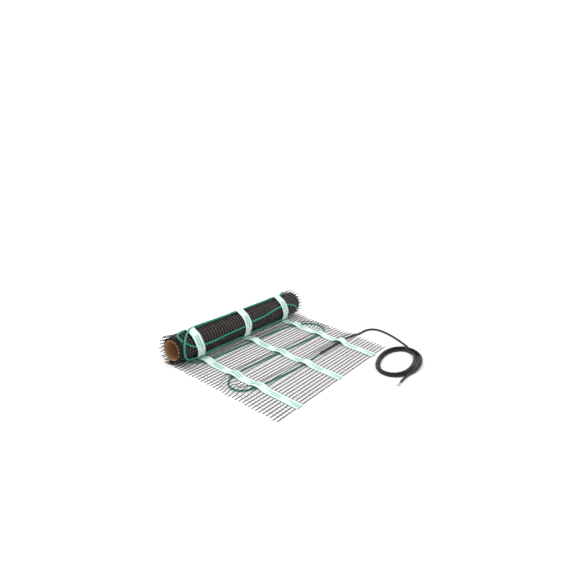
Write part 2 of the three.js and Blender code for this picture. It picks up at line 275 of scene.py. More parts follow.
LAID_ROUTE = FLAT_ROUTE[4:]  # past the rise to the sleeve

SHEET_RADIUS = 38.3  # mm, where lengths along the sheet are true
WRAP_RADIUS = 40.1  # mm, centre of the cable on the roll
RUN_PITCH = 88
RUN_END = 193
BEND_REACH = 39
BEND_STEPS = 12
WOUND_RUNS = [31, 119, 211]


def on_roll(x, s, radius=WRAP_RADIUS):
    point = roll_point(s / SHEET_RADIUS, radius * MM)
    return Vector((x * MM, point.y, point.z))


def wound_bend(s):
    """The bend at the roll's right end, from the run at length s to the next one."""
    points = []
    for i in range(BEND_STEPS + 1):
        a = math.pi * i / BEND_STEPS
        x = RUN_END + BEND_REACH * math.sin(a)
        points.append(on_roll(x, s + RUN_PITCH / 2 * (1 - math.cos(a))))
    return points


def wound_route():
    first, second, third = WOUND_RUNS
    return [
        on_roll(-RUN_END - 27, first - 10),
        on_roll(-RUN_END - 19, first - 4),
        on_roll(-RUN_END - 9, first - 0.8),
        *(on_roll(x, first) for x in (-RUN_END, -90, 20, 120)),
        *wound_bend(first),
        *(on_roll(x, second + 1.2 * math.sin(x / 40)) for x in (120, 20, -90)),
        *(on_roll(x, s, WRAP_RADIUS + 1.2) for x, s in LEFT_LOOP),
        *(on_roll(x, third) for x in (-90, 20, 120, RUN_END)),
        on_roll(RUN_END + 12, third + 1),
        on_roll(RUN_END + 22, third + 3.5),
    ]


# The bend that stands out at the roll's left end: x and length round the roll
LEFT_LOOP = [
    (-193, 120), (-203, 126), (-218, 136), (-230, 146), (-239, 157), (-244, 168), (-244, 178),
    (-240, 188), (-230, 198), (-214, 207), (-193, 211),
]

INNER_RADIUS = 35.4  # mm, centre of the cable under the outer turn
# The cable of the turn below, seen through the outer mesh: x and length round the roll
INNER_ROUTE = [
    (215, 111), (150, 113), (90, 110), (30, 111), (-40, 113), (-110, 110), (-170, 111), (-205, 111),
    (-228, 116), (-237, 127), (-237, 141), (-230, 151), (-225, 158), (-216, 166), (-202, 172.5),
    (-169, 177), (-132, 178), (-94, 176), (-60, 175), (-15, 174), (16, 169), (60, 168), (99, 164),
    (127, 160), (154, 159), (181, 159.5), (201, 166), (222, 176), (232, 190),
]


def inner_route():
    return [on_roll(x, s, INNER_RADIUS) for x, s in INNER_ROUTE]


LEAD_START = (SLEEVE_END + 0.3, SLEEVE_Y, SLEEVE_Z)
LEAD_ROUTE = [
    LEAD_START,
    (216, SLEEVE_Y - 1, 4.65),
    (232, SLEEVE_Y - 3, 4.25),
    (254, SLEEVE_Y - 7, 3.5),
    (271, SLEEVE_Y - 10, 3),
    (288, SLEEVE_Y - 11, 3),
    (306, -250, 3),
    (324, -255, 3),
    (338, -266, 3),
    (344, -283, 3),
    (342, -305, 3),
    (335, -329, 3),
    (326, -350, 3),
    (316, -370, 3),
    (306, -388, 3),
]
COIL_CENTRE = (192, -415)
COIL_LONG = 86
COIL_SHORT = 48
COIL_ANGLE = math.radians(3)
COIL_PITCH = 7.6  # between two turns side by side
COIL_START = math.radians(-2)
COIL_TURNS = 3.22
COIL_STEPS = 84
COIL_OUT = 8.3  # how far the first turn lies outside the oval
TAIL_ROUTE = [
    (186, -474.5, 4.6),
    (170, -473.5, 3.2),
    (152, -470.5, 3),
    (134, -468.5, 3),
    (118, -468.5, 3),
    (105, -469, 3),
    (95, -470, 3),
]


def ease(low, high, value):
    t = min(max((value - low) / (high - low), 0.0), 1.0)
    return t * t * (3 - 2 * t)


def coil_turns():
    """Two oval turns side by side on the floor and a third across them, clockwise from above."""
    points = []
    for i in range(COIL_STEPS + 1):
        turn = COIL_TURNS * i / COIL_STEPS
        a = COIL_START - 2 * math.pi * turn
        slack = 2.2 * math.sin(2 * a + 0.5)
        out = COIL_OUT - COIL_PITCH * min(turn, 2.05) + slack
        out += 11.0 * ease(2.14, 2.5, turn) - 3.0 * ease(2.5, 2.8, turn) + 12.4 * ease(2.9, 3.2, turn)
        z = 3 + 6.2 * ease(2.0, 2.14, turn) - 2.6 * ease(3.16, 3.22, turn)
        normal = Vector((COIL_SHORT * math.cos(a), COIL_LONG * math.sin(a))).normalized()
        spot = Vector((COIL_LONG * math.cos(a), COIL_SHORT * math.sin(a))) + normal * out
        ca, sa = math.cos(COIL_ANGLE), math.sin(COIL_ANGLE)
        x, y = spot.x * ca - spot.y * sa, spot.x * sa + spot.y * ca
        points.append((COIL_CENTRE[0] + x, COIL_CENTRE[1] + y, z))
    return points


# Mesh and curve helpers


def link(obj):
    bpy.context.scene.collection.objects.link(obj)
    return obj


def curve_object(name, points, bevel=0.0, sides=6):
    data = bpy.data.curves.new(name, "CURVE")
    data.dimensions = "3D"
    spline = data.splines.new("POLY")
    spline.points.add(len(points) - 1)
    for target, point in zip(spline.points, points):
        target.co = (*point, 1)
    data.bevel_depth = bevel
    data.bevel_resolution = sides
    data.use_fill_caps = True
    return link(bpy.data.objects.new(name, data))


def mesh_object(name, verts, faces, material=None, smooth=True):
    data = bpy.data.meshes.new(name)
    data.from_pydata([tuple(v) for v in verts], [], faces)
    data.polygons.foreach_set("use_smooth", [smooth] * len(faces))
    data.update()
    obj = link(bpy.data.objects.new(name, data))
    if material:
        data.materials.append(material)
    return obj


def applied(obj):
    """The object's evaluated shape as a plain mesh in its place, its modifiers gone."""
    bpy.context.view_layer.update()
    evaluated = obj.evaluated_get(bpy.context.evaluated_depsgraph_get())
    data = bpy.data.meshes.new_from_object(evaluated)
    name = obj.name
    old = obj.data
    bpy.data.objects.remove(obj)
    if old.users == 0:
        (bpy.data.curves if isinstance(old, bpy.types.Curve) else bpy.data.meshes).remove(old)
    data.name = name
    return link(bpy.data.objects.new(name, data))


def ring_faces(rings, around):
    """Faces between rings of points, the last ring joined to the first."""
    faces = []
    for i in range(rings):
        for j in range(around):
            k, n = (j + 1) % around, (i + 1) % rings
            faces.append((i * around + j, n * around + j, n * around + k, i * around + k))
    return faces


def finish_piece(obj, slot, *nodes):
    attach(obj, "root")
    if nodes:
        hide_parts(*nodes)


# Geometry Nodes


class Tree:
    """Shorthand for building a node tree."""

    def __init__(self, name):
        self.tree = bpy.data.node_groups.new(name, "GeometryNodeTree")
        self.inputs = {}
        self.socket("Geometry", "NodeSocketGeometry", None)
        self.tree.interface.new_socket("Geometry", in_out="OUTPUT", socket_type="NodeSocketGeometry")
        self.start = self.tree.nodes.new("NodeGroupInput")
        self.end = self.tree.nodes.new("NodeGroupOutput")

    def socket(self, name, kind, default):
        made = self.tree.interface.new_socket(name, in_out="INPUT", socket_type=kind)
        if default is not None:
            made.default_value = default
        self.inputs[name] = made.identifier

    def node(self, kind, links=(), **settings):
        made = self.tree.nodes.new(kind)
        for key, value in settings.items():
            setattr(made, key, value)
        for socket, value in dict(links).items():
            self.feed(made.inputs[socket], value)
        return made

    def feed(self, socket, value):
        if isinstance(value, bpy.types.NodeSocket):
            self.tree.links.new(value, socket)
        elif isinstance(value, bpy.types.Node):
            self.tree.links.new(value.outputs[0], socket)
        else:
            socket.default_value = value

    def given(self, name):
        return self.start.outputs[name]

    def math(self, operation, a, b=0.0):
        return self.node("ShaderNodeMath", {0: a, 1: b}, operation=operation).outputs[0]

    def vector(self, operation, a, b=(0, 0, 0)):
        made = self.node("ShaderNodeVectorMath", {0: a, 1: b}, operation=operation)
        return made.outputs["Value" if operation in {"DISTANCE", "LENGTH", "DOT_PRODUCT"} else "Vector"]

    def xyz(self, x=0.0, y=0.0, z=0.0):
        return self.node("ShaderNodeCombineXYZ", {"X": x, "Y": y, "Z": z}).outputs[0]

    def finish(self, geometry, material):
        realized = self.node("GeometryNodeRealizeInstances", {"Geometry": geometry})
        painted = self.node("GeometryNodeSetMaterial", {"Geometry": realized, "Material": material})
        self.tree.links.new(painted.outputs[0], self.end.inputs[0])


def run_tree(obj, built, values):
    modifier = obj.modifiers.new(built.tree.name, "NODES")
    modifier.node_group = built.tree
    for name, value in values.items():
        modifier[built.inputs[name]] = value
    return applied(obj)


def drape_offset(tree, position):
    """Offset that lifts a strand to the height of the guide line, less with distance from it."""
    parts = tree.node("ShaderNodeSeparateXYZ", {"Vector": position})
    flat = tree.vector("MULTIPLY", position, (1, 1, 0))
    given = {"Object": tree.given("Cable line")}
    line = tree.node("GeometryNodeObjectInfo", given, transform_space="RELATIVE")
    near = tree.node("GeometryNodeProximity", target_element="EDGES")
    tree.tree.links.new(line.outputs["Geometry"], near.inputs[0])
    sample = next(s for s in near.inputs if s.name in ("Sample Position", "Source Position"))
    tree.feed(sample, flat)
    nearest = near.outputs["Position"]
    away = tree.vector("DISTANCE", flat, tree.vector("MULTIPLY", nearest, (1, 1, 0)))
    height = tree.node("ShaderNodeSeparateXYZ", {"Vector": nearest}).outputs["Z"]
    share = tree.node(
        "ShaderNodeMapRange",
        {"Value": away, "From Min": 2.0 * MM, "From Max": 26 * MM, "To Min": 1.0, "To Max": 0.0},
        interpolation_type="SMOOTHERSTEP",
    ).outputs[0]
    low = tree.math("LESS_THAN", parts.outputs["Z"], 12 * MM)
    front = tree.math("LESS_THAN", parts.outputs["Y"], ROLL_Y - 17 * MM)
    amount = tree.math("MULTIPLY", tree.math("MULTIPLY", low, front), share)
    return tree.math("MULTIPLY", tree.math("MULTIPLY", amount, tree.given("Lift")), height)


def end_flare(tree, position):
    """Offset that opens the roll's ends a little: 0 on the flat, more towards the strand tips."""
    parts = tree.node("ShaderNodeSeparateXYZ", {"Vector": position})
    share = tree.node(
        "ShaderNodeMapRange",
        {"Value": tree.math("ABSOLUTE", parts.outputs["X"]), "From Min": 225 * MM, "From Max": 258 * MM},
        interpolation_type="SMOOTHSTEP",
    ).outputs[0]
    from_axis = tree.vector("SUBTRACT", position, (0, ROLL_Y, ROLL_Z))
    away = tree.vector("NORMALIZE", tree.vector("MULTIPLY", from_axis, (0, 1, 1)))
    scaled = tree.node("ShaderNodeVectorMath", {0: away}, operation="SCALE")
    tree.feed(scaled.inputs["Scale"], tree.math("MULTIPLY", share, tree.given("Flare")))
    return scaled.outputs["Vector"]


def above_floor(tree, geometry, radius):
    """Keeps strand centres at least a radius above the floor."""
    parts = tree.node("ShaderNodeSeparateXYZ", {"Vector": tree.node("GeometryNodeInputPosition")})
    height = tree.math("MAXIMUM", parts.outputs["Z"], radius)
    place_at = tree.xyz(parts.outputs["X"], parts.outputs["Y"], height)
    return tree.node("GeometryNodeSetPosition", {"Geometry": geometry, "Position": place_at})


def weft_tree():
    """Straight strands across the mat, one at each point of the path."""
    tree = Tree("weft_strands")
    tree.socket("Material", "NodeSocketMaterial", None)
    tree.socket("Cable line", "NodeSocketObject", None)
    tree.socket("Half width", "NodeSocketFloat", HALF_WIDTH)
    tree.socket("Strand radius", "NodeSocketFloat", 0.6 * MM)
    tree.socket("Steps", "NodeSocketInt", 101)
    tree.socket("Wave", "NodeSocketFloat", 0.5 * MM)
    tree.socket("Lift", "NodeSocketFloat", 1.0)
    tree.socket("Flare", "NodeSocketFloat", 0.0)
    tree.socket("Ragged", "NodeSocketFloat", 3 * MM)
    tree.socket("Seed", "NodeSocketInt", 3)
    path = tree.node("GeometryNodeCurveToPoints", {"Curve": tree.given("Geometry")}, mode="EVALUATED")
    left = tree.xyz(tree.math("MULTIPLY", tree.given("Half width"), -1))
    right = tree.xyz(tree.given("Half width"))
    line = tree.node("GeometryNodeCurvePrimitiveLine", {"Start": left, "End": right})
    fine = tree.node("GeometryNodeResampleCurve", {"Curve": line, "Count": tree.given("Steps")})
    jitter = tree.node(
        "FunctionNodeRandomValue",
        {
            "Min": tree.xyz(tree.math("MULTIPLY", tree.given("Ragged"), -1)),
            "Max": tree.xyz(tree.given("Ragged")),
            "Seed": tree.given("Seed"),
        },
        data_type="FLOAT_VECTOR",
    )
    points = path.outputs["Points"]
    moved = tree.node("GeometryNodeSetPosition", {"Geometry": points, "Offset": jitter.outputs[0]})
    copies = tree.node("GeometryNodeInstanceOnPoints", {"Points": moved, "Instance": fine})
    real = tree.node("GeometryNodeRealizeInstances", {"Geometry": copies})
    position = tree.node("GeometryNodeInputPosition")
    wobble = tree.node("ShaderNodeTexNoise", {"Vector": position, "Scale": 14.0, "Detail": 2.0})
    centred = tree.vector("SUBTRACT", wobble.outputs["Color"], (0.5, 0.5, 0.5))
    reach = tree.xyz(0.0, tree.given("Wave"), tree.math("MULTIPLY", tree.given("Wave"), 0.4))
    sway = tree.vector("MULTIPLY", centred, reach)
    raised = tree.vector("ADD", tree.xyz(0.0, 0.0, drape_offset(tree, position)), end_flare(tree, position))
    total = tree.vector("ADD", sway, raised)
    shaped = tree.node("GeometryNodeSetPosition", {"Geometry": real, "Offset": total})
    shaped = above_floor(tree, shaped, tree.given("Strand radius"))
    profile = {"Resolution": 6, "Radius": tree.given("Strand radius")}
    ring = tree.node("GeometryNodeCurvePrimitiveCircle", profile)
    tube = tree.node(
        "GeometryNodeCurveToMesh",
        {"Curve": shaped, "Profile Curve": ring.outputs["Curve"], "Fill Caps": True},
    )
    tree.finish(tube, tree.given("Material"))
    return tree


def warp_tree():
    """Pairs of thin yarns along the mat that twist round each other between the wefts."""
    tree = Tree("warp_yarns")
    tree.socket("Material", "NodeSocketMaterial", None)
    tree.socket("Cable line", "NodeSocketObject", None)
    tree.socket("Count", "NodeSocketInt", 49)
    tree.socket("Pitch", "NodeSocketFloat", 10 * MM)
    tree.socket("Yarn radius", "NodeSocketFloat", 0.3 * MM)
    tree.socket("Twist radius", "NodeSocketFloat", 0.3 * MM)
    tree.socket("Wave", "NodeSocketFloat", 0.5 * MM)
    tree.socket("Lift", "NodeSocketFloat", 1.0)
    tree.socket("Flare", "NodeSocketFloat", 0.0)
    tree.socket("Sides", "NodeSocketInt", 4)
    span = tree.math("MULTIPLY", tree.math("SUBTRACT", tree.given("Count"), 1.0), tree.given("Pitch"))
    row = tree.node(
        "GeometryNodeMeshLine",
        {
            "Count": tree.given("Count"),
            "Start Location": tree.xyz(tree.math("MULTIPLY", span, -0.5)),
            "Offset": tree.xyz(tree.given("Pitch")),
        },
    )
    position = tree.node("GeometryNodeInputPosition")
    length = tree.node("GeometryNodeSplineParameter").outputs["Length"]
    turn = tree.math("DIVIDE", tree.math("MULTIPLY", length, math.pi), tree.given("Pitch"))
    tangent = tree.node("GeometryNodeInputTangent")
    normal = tree.vector("CROSS_PRODUCT", (1, 0, 0), tangent.outputs[0])
    yarns = []
    for sign in (1, -1):
        given = {"Points": row, "Instance": tree.given("Geometry")}
        copies = tree.node("GeometryNodeInstanceOnPoints", given)
        real = tree.node("GeometryNodeRealizeInstances", {"Geometry": copies})
        reach = tree.math("MULTIPLY", tree.given("Twist radius"), sign)
        side = tree.math("MULTIPLY", tree.math("COSINE", turn), reach)
        rise = tree.math("MULTIPLY", tree.math("SINE", turn), reach)
        scaled = tree.node("ShaderNodeVectorMath", {0: normal}, operation="SCALE")
        tree.feed(scaled.inputs["Scale"], rise)
        twist = tree.vector("ADD", tree.xyz(side), scaled.outputs["Vector"])
        wobble = tree.node("ShaderNodeTexNoise", {"Vector": position, "Scale": 9.0, "Detail": 2.0})
        centred = tree.vector("SUBTRACT", wobble.outputs["Color"], (0.5, 0.5, 0.5))
        sway = tree.vector("MULTIPLY", centred, tree.xyz(tree.given("Wave")))
        draped = tree.xyz(0.0, 0.0, drape_offset(tree, position))
        raised = tree.vector("ADD", draped, end_flare(tree, position))
        total = tree.vector("ADD", tree.vector("ADD", sway, twist), raised)
        moved = tree.node("GeometryNodeSetPosition", {"Geometry": real, "Offset": total})
        yarns.append(above_floor(tree, moved, tree.given("Yarn radius")))
    both = tree.node("GeometryNodeJoinGeometry")
    for yarn in yarns:
        tree.tree.links.new(yarn.outputs[0], both.inputs[0])
    profile = {"Resolution": tree.given("Sides"), "Radius": tree.given("Yarn radius")}
    ring = tree.node("GeometryNodeCurvePrimitiveCircle", profile)
    tube = tree.node(
        "GeometryNodeCurveToMesh",
        {"Curve": both, "Profile Curve": ring.outputs["Curve"], "Fill Caps": True},
    )
    tree.finish(tube, tree.given("Material"))
    return tree


def tube_tree():
    """A round tube along a route."""
    tree = Tree("round_tube")
    tree.socket("Material", "NodeSocketMaterial", None)
    tree.socket("Radius", "NodeSocketFloat", 2 * MM)
    tree.socket("Sides", "NodeSocketInt", 16)
    profile = {"Resolution": tree.given("Sides"), "Radius": tree.given("Radius")}
    ring = tree.node("GeometryNodeCurvePrimitiveCircle", profile)
    tube = tree.node(
        "GeometryNodeCurveToMesh",
        {"Curve": tree.given("Geometry"), "Profile Curve": ring.outputs["Curve"], "Fill Caps": True},
    )
    smooth = tree.node("GeometryNodeSetShadeSmooth", {"Geometry": tube})
    tree.finish(smooth, tree.given("Material"))
    return tree


# Materials


def shader_group(name, inputs, outputs):
    group = bpy.data.node_groups.new(name, "ShaderNodeTree")
    for label, kind, default in inputs:
        made = group.interface.new_socket(label, in_out="INPUT", socket_type=kind)
        made.default_value = default
    for label, kind in outputs:
        group.interface.new_socket(label, in_out="OUTPUT", socket_type=kind)
    return group, group.nodes.new("NodeGroupInput"), group.nodes.new("NodeGroupOutput")


def mottle_group():
    """Colour that varies softly, and a fine height, both on object coordinates."""
    group, given, out = shader_group(
        "surface_mottle",
        [
            ("Colour", "NodeSocketColor", (1, 1, 1, 1)),
            ("Spread", "NodeSocketFloat", 0.2),
            ("Scale", "NodeSocketFloat", 60.0),
            ("Fine scale", "NodeSocketFloat", 600.0),
        ],
        [("Colour", "NodeSocketColor"), ("Height", "NodeSocketFloat"), ("Mask", "NodeSocketFloat")],
    )
    nodes, links = group.nodes, group.links
    where = nodes.new("ShaderNodeTexCoord")
    broad = nodes.new("ShaderNodeTexNoise")
    fine = nodes.new("ShaderNodeTexNoise")
    broad.inputs["Detail"].default_value = 5
    fine.inputs["Detail"].default_value = 3
    for texture, scale in ((broad, "Scale"), (fine, "Fine scale")):
        links.new(where.outputs["Object"], texture.inputs["Vector"])
        links.new(given.outputs[scale], texture.inputs["Scale"])
    offset = nodes.new("ShaderNodeMath")
    offset.operation = "SUBTRACT"
    links.new(broad.outputs["Fac"], offset.inputs[0])
    offset.inputs[1].default_value = 0.5
    scaled = nodes.new("ShaderNodeMath")
    scaled.operation = "MULTIPLY_ADD"
    links.new(offset.outputs[0], scaled.inputs[0])
    links.new(given.outputs["Spread"], scaled.inputs[1])
    scaled.inputs[2].default_value = 1.0
    tint = nodes.new("ShaderNodeVectorMath")
    tint.operation = "SCALE"
    links.new(given.outputs["Colour"], tint.inputs[0])
    links.new(scaled.outputs[0], tint.inputs["Scale"])
    links.new(tint.outputs["Vector"], out.inputs["Colour"])
    links.new(fine.outputs["Fac"], out.inputs["Height"])
    links.new(broad.outputs["Fac"], out.inputs["Mask"])
    return group


def material_with_mottle(name, colour, spread, scale, fine_scale, roughness, bump, distance, group):
    material = bpy.data.materials.new(name)
    material.use_nodes = True
    nodes, links = material.node_tree.nodes, material.node_tree.links
    shader = nodes["Principled BSDF"]
    mottle = nodes.new("ShaderNodeGroup")
    mottle.node_tree = group
    mottle.inputs["Colour"].default_value = (*colour, 1)
    mottle.inputs["Spread"].default_value = spread
    mottle.inputs["Scale"].default_value = scale
    mottle.inputs["Fine scale"].default_value = fine_scale
    links.new(mottle.outputs["Colour"], shader.inputs["Base Color"])
    rough = nodes.new("ShaderNodeMapRange")
    links.new(mottle.outputs["Mask"], rough.inputs["Value"])
    rough.inputs["To Min"].default_value = roughness - 0.1
    rough.inputs["To Max"].default_value = roughness + 0.1
    links.new(rough.outputs[0], shader.inputs["Roughness"])
    raised = nodes.new("ShaderNodeBump")
    raised.inputs["Strength"].default_value = bump
    raised.inputs["Distance"].default_value = distance
    links.new(mottle.outputs["Height"], raised.inputs["Height"])
    links.new(raised.outputs[0], shader.inputs["Normal"])
    return material, shader, mottle


COLOUR_A, COLOUR_B, COLOUR_OUT = 6, 7, 2  # colour sockets of the Mix node
FAR_START = 10000  # mm, keeps the repeated lengths positive


def tape_material(group):
    """Pale tape with plain green marks: two rounded bars, one over the other, along its length."""
    tones = colours()
    material, shader, mottle = material_with_mottle(
        "tape_film", tones.tape, 0.16, 90.0, 1400.0, 0.42, 0.25, 0.12 * MM, group
    )
    nodes, links = material.node_tree.nodes, material.node_tree.links
    uv = nodes.new("ShaderNodeUVMap")
    uv.uv_map = "along"
    parts = nodes.new("ShaderNodeSeparateXYZ")
    links.new(uv.outputs[0], parts.inputs[0])

    def value(operation, a, b=0.0, c=0.0):
        made = nodes.new("ShaderNodeMath")
        made.operation = operation
        for socket, given in zip(made.inputs, (a, b, c)):
            if isinstance(given, bpy.types.NodeSocket):
                links.new(given, socket)
            else:
                socket.default_value = given
        return made.outputs[0]

    along = value("MULTIPLY", parts.outputs["X"], 1000)  # mm
    across = value("MULTIPLY", parts.outputs["Y"], 1000)

    def soft_below(distance, limit, blur):
        """1 where distance is under limit, 0 past it, soft over blur."""
        return value("MULTIPLY_ADD", distance, -1 / blur, limit / blur + 0.5)

    def bar(repeat, phase, half_length, centre, half_width):
        wrapped = value("MODULO", value("ADD", along, FAR_START + phase), repeat)
        place_along = value("SUBTRACT", wrapped, repeat / 2)
        over = value("MAXIMUM", value("SUBTRACT", value("ABSOLUTE", place_along), half_length), 0.0)
        side = value("ABSOLUTE", value("SUBTRACT", across, centre))
        distance = value("SQRT", value("ADD", value("POWER", over, 2.0), value("POWER", side, 2.0)))
        clamp = nodes.new("ShaderNodeClamp")
        links.new(soft_below(distance, half_width, 0.9), clamp.inputs[0])
        return clamp.outputs[0]

    bars = value("MAXIMUM", bar(62, 0, 18, 3.5, 2.3), bar(62, 5, 12, -3.5, 2.3))
    stroke = value("ABSOLUTE", value("SUBTRACT", value("MODULO", value("ADD", along, FAR_START), 5.2), 2.6))
    strokes = nodes.new("ShaderNodeClamp")
    links.new(soft_below(stroke, 2.0, 0.8), strokes.inputs[0])
    bars = value("MULTIPLY", bars, value("MULTIPLY_ADD", strokes.outputs[0], 0.75, 0.25))
    worn = nodes.new("ShaderNodeTexNoise")
    worn.inputs["Scale"].default_value = 500
    where = nodes.new("ShaderNodeTexCoord")
    links.new(where.outputs["Object"], worn.inputs["Vector"])
    mask = value("MULTIPLY", bars, value("MULTIPLY_ADD", worn.outputs["Fac"], 0.9, 0.35))
    clamp = nodes.new("ShaderNodeClamp")
    links.new(mask, clamp.inputs[0])
    mix = nodes.new("ShaderNodeMix")
    mix.data_type = "RGBA"
    links.new(clamp.outputs[0], mix.inputs[0])
    links.new(mottle.outputs["Colour"], mix.inputs[COLOUR_A])
    mix.inputs[COLOUR_B].default_value = (*tones.mark, 1)
    links.new(mix.outputs[COLOUR_OUT], shader.inputs["Base Color"])
    shader.inputs["Coat Weight"].default_value = 0.15
    return material


# Kind, name, spread, scale, fine scale, roughness, bump strength, bump distance in mm
PLAIN_MATERIALS = [
    ("weft", "coated_weft", 0.9, 45.0, 2600.0, 0.5, 0.6, 0.15),
    ("warp", "coated_warp", 1.1, 60.0, 2600.0, 0.45, 0.6, 0.1),
    ("cable", "green_cable_jacket", 0.35, 40.0, 1500.0, 0.36, 0.12, 0.05),
    ("board", "core_board", 0.35, 70.0, 1800.0, 0.82, 0.5, 0.15),
    ("jacket", "jacket_black", 0.3, 60.0, 1500.0, 0.48, 0.12, 0.05),
    ("conductor", "stripped_cores", 0.3, 90.0, 1800.0, 0.4, 0.1, 0.05),
]
CONDUCTOR_GREY = (0.32, 0.33, 0.33)
WEFT_SPECULAR = 0.3


def make_materials():
    group = mottle_group()
    made = {}
    for kind, name, *looks, distance in PLAIN_MATERIALS:
        colour = getattr(colours(), kind, CONDUCTOR_GREY)
        made[kind] = material_with_mottle(name, colour, *looks, distance * MM, group)[0]
    coat = made["weft"].node_tree.nodes["Principled BSDF"]
    coat.inputs["Specular IOR Level"].default_value = WEFT_SPECULAR
    made["tape"] = tape_material(group)
    return made


MADE_MATERIALS = {}
MADE_TREES = {}


def finish(kind):
    """One of the materials above: they are made together, the first time one is wanted."""
    if not MADE_MATERIALS:
        MADE_MATERIALS.update(make_materials())
    return MADE_MATERIALS[kind]


def tree_for(kind):
    """One of the node trees above, made the first time it is wanted."""
    if kind not in MADE_TREES:
        MADE_TREES[kind] = {"weft": weft_tree, "warp": warp_tree, "tube": tube_tree}[kind]()
    return MADE_TREES[kind]


# Operators


class HEATMAT_OT_stage(bpy.types.Operator):
    """Camera, floor and lights"""

    bl_idname = "heatmat.stage"
    bl_label = "Stage"

    def execute(self, context):
        make_camera()
        make_floor()
        make_lights()
        return {"FINISHED"}


FRAME_PIXELS = 579
FOCAL_PIXELS = 484.56
CAMERA_AZIMUTH = math.radians(-54.72)
CAMERA_ELEVATION = math.radians(19.88)
CAMERA_ROLL = math.radians(5.22)
CAMERA_PLACE = (-970.1, -851.1, 618.9)


def make_camera():
    data = bpy.data.cameras.new("camera")
    camera = link(bpy.data.objects.new("camera", data))
    data.sensor_width = 36
    data.sensor_fit = "HORIZONTAL"
    data.lens = FOCAL_PIXELS / FRAME_PIXELS * data.sensor_width
    data.clip_start = 0.01
    ca, sa = math.cos(CAMERA_AZIMUTH), math.sin(CAMERA_AZIMUTH)
    ce, se = math.cos(CAMERA_ELEVATION), math.sin(CAMERA_ELEVATION)
    back = Vector((sa * ce, -ca * ce, se))
    right = Vector((0, 0, 1)).cross(back).normalized()
    up = back.cross(right)
    cr, sr = math.cos(CAMERA_ROLL), math.sin(CAMERA_ROLL)
    right, up = right * cr + up * sr, up * cr - right * sr
    spot = place(*CAMERA_PLACE)
    rows = [[right[i], up[i], back[i], spot[i]] for i in range(3)] + [[0, 0, 0, 1]]
    camera.matrix_world = Matrix(rows)
    bpy.context.scene.camera = camera


def make_floor():
    material = bpy.data.materials.new("pale_floor")
    material.use_nodes = True
    shader = material.node_tree.nodes["Principled BSDF"]
    shader.inputs["Base Color"].default_value = (0.99, 0.99, 0.99, 1)
    shader.inputs["Roughness"].default_value = 0.9
    shader.inputs["Specular IOR Level"].default_value = 0.1
    half = 6.0
    corners = [(-half, -half, 0), (half, -half, 0), (half, half, 0), (-half, half, 0)]
    floor = mesh_object("floor", corners, [(0, 1, 2, 3)], material, smooth=False)


def make_light(name, where, towards, size, power):
    data = bpy.data.lights.new(name, "AREA")
    data.size = size
    data.energy = power
    lamp = link(bpy.data.objects.new(name, data))
    lamp.location = where
    lamp.rotation_euler = (Vector(towards) - Vector(where)).to_track_quat("-Z", "Y").to_euler()


def make_lights():
    world = bpy.data.worlds.new("studio")
    bpy.context.scene.world = world
    world.use_nodes = True
    sky = world.node_tree.nodes["Background"]
    sky.inputs["Color"].default_value = (1, 1, 1, 1)
    sky.inputs["Strength"].default_value = 1.04
    bpy.context.scene.view_settings.view_transform = "Standard"
    make_light("key", (-0.9, 1.4, 2.2), (0, 0, 0), 1.6, 24)


class HEATMAT_OT_cold_lead(bpy.types.Operator):
    """Cold lead from the sleeve to its coil and stripped end"""

    bl_idname = "heatmat.cold_lead"
    bl_label = "Cold lead"

    def execute(self, context):
        route = [place(*p) for p in [*LEAD_ROUTE, *coil_turns(), *TAIL_ROUTE]]
        fine = catmull(route, 4 * MM)
        lead = curve_object("cold_lead_cord", fine, sizes().lead_diameter / 2, 4)
        lead.data.materials.append(finish("jacket"))
        finish_piece(lead, "black_jacket", "cold_lead", "lead_coil", "lead_tail")
        cores = self.make_cores(fine)
        return {"FINISHED"}

    def make_cores(self, fine):
        tip = fine[-1]
        heading = (tip - fine[-3]).normalized()
        across = Vector((-heading.y, heading.x, 0))
        radius = 0.9 * MM
        cores = []
        for name, side in (("conductor_left", 1), ("conductor_right", -1)):
            start = tip + heading * GAP + across * side * 1.26 * MM
            middle = start + heading * 11 * MM
            end = start + heading * 22 * MM + across * side * 3 * MM
            end.z = radius
            path = catmull([start, middle, end], 1.5 * MM)
            core = curve_object(name + "_core", path)
            values = {"Material": finish("conductor"), "Radius": radius, "Sides": 12}
            core = run_tree(core, tree_for("tube"), values)
            finish_piece(core, "conductor", name)
            cores.append(core)
        return cores


class HEATMAT_OT_heating_cable(bpy.types.Operator):
    """Heating cable under the unrolled mesh and round the roll"""

    bl_idname = "heatmat.heating_cable"
    bl_label = "Heating cable"

    def execute(self, context):
        pieces = [
            ("flat_cable", [place(*p) for p in FLAT_ROUTE], ["heating_cable_flat"]),
            ("roll_cable", wound_route(), ["heating_cable_roll"]),
            ("inner_cable", inner_route(), []),
        ]
        for name, route, nodes in pieces:
            path = catmull(route, 4 * MM)
            cable = curve_object(name, path)
            radius = sizes().cable_diameter / 2
            values = {"Material": finish("cable"), "Radius": radius, "Sides": 14}
            cable = run_tree(cable, tree_for("tube"), values)
            finish_piece(cable, "heating_cable", *nodes)
        return {"FINISHED"}


